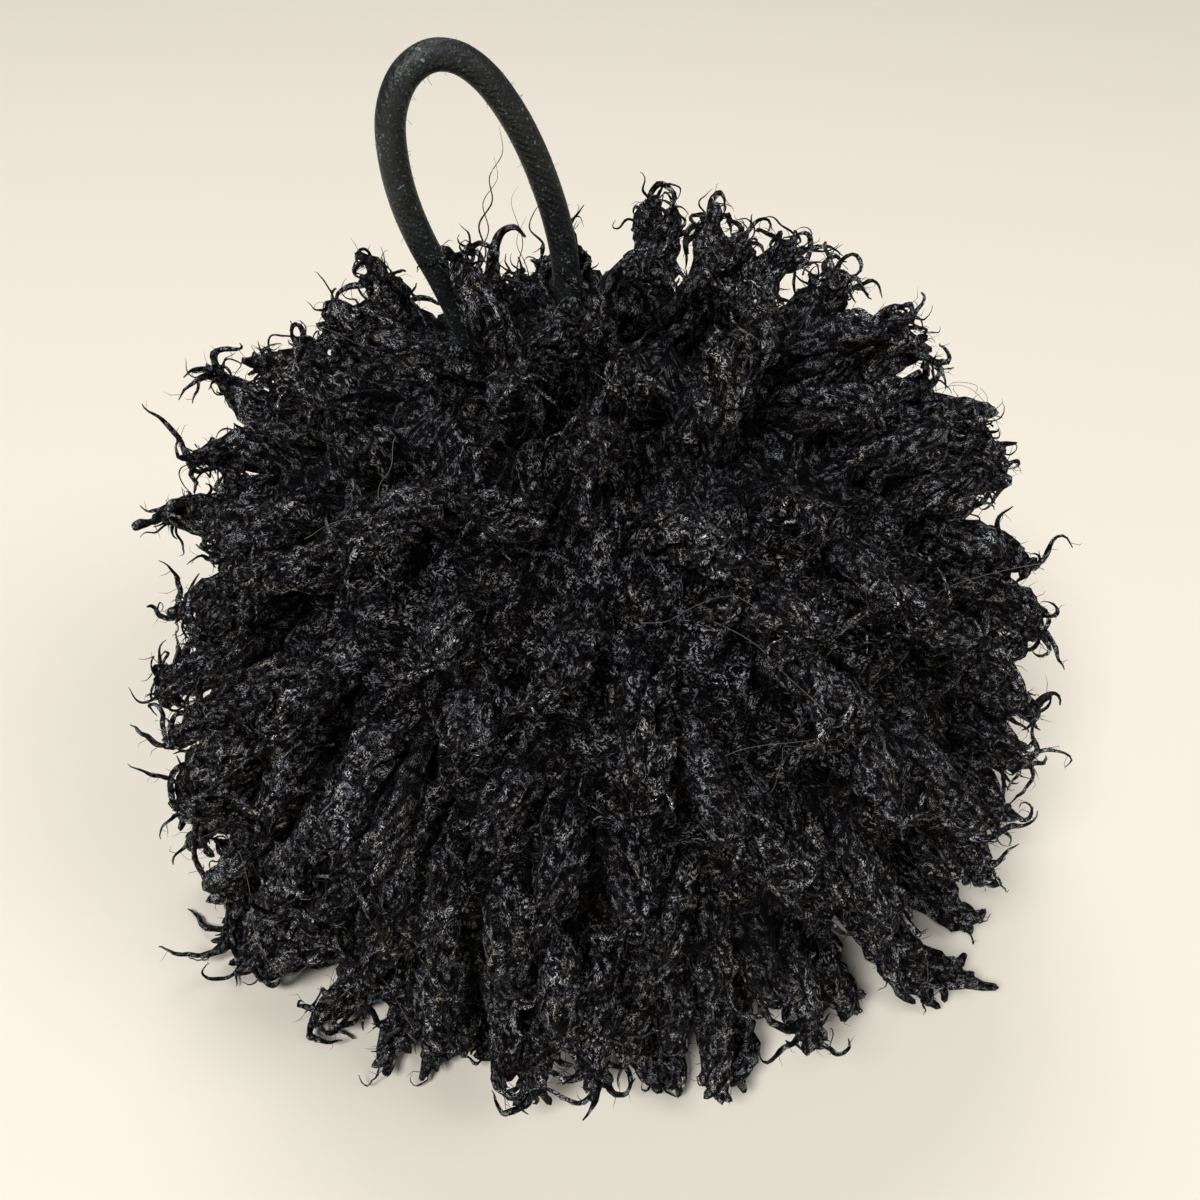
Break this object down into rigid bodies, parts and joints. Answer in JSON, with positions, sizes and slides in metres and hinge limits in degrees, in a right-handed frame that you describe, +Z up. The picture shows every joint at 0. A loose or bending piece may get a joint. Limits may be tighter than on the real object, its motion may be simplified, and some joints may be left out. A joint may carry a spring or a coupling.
{
  "type": "faux fur pom pom with elastic loop",
  "caption": "Round stuffed pom pom of long curly black faux fur, slumped on its flat spot, with a leaning loop of round elastic at its gathered crown.",
  "frame": {"origin": "on the surface that the pom pom lies on, under the middle of the ball", "axes": "+Z up through the ball; the camera side is -Y; the elastic loop leans towards -X"},
  "size_m": [0.1627, 0.1608, 0.1459],
  "materials": {
    "curly_fur": "long curly synthetic pile, near black, with many fine glints",
    "woven_elastic": "matt braided textile cover of round elastic, charcoal grey with a slight green tone"
  },
  "bodies": {
    "root": {"fur_ball": "curly_fur", "elastic_loop": "woven_elastic"}
  },
  "joints": []
}
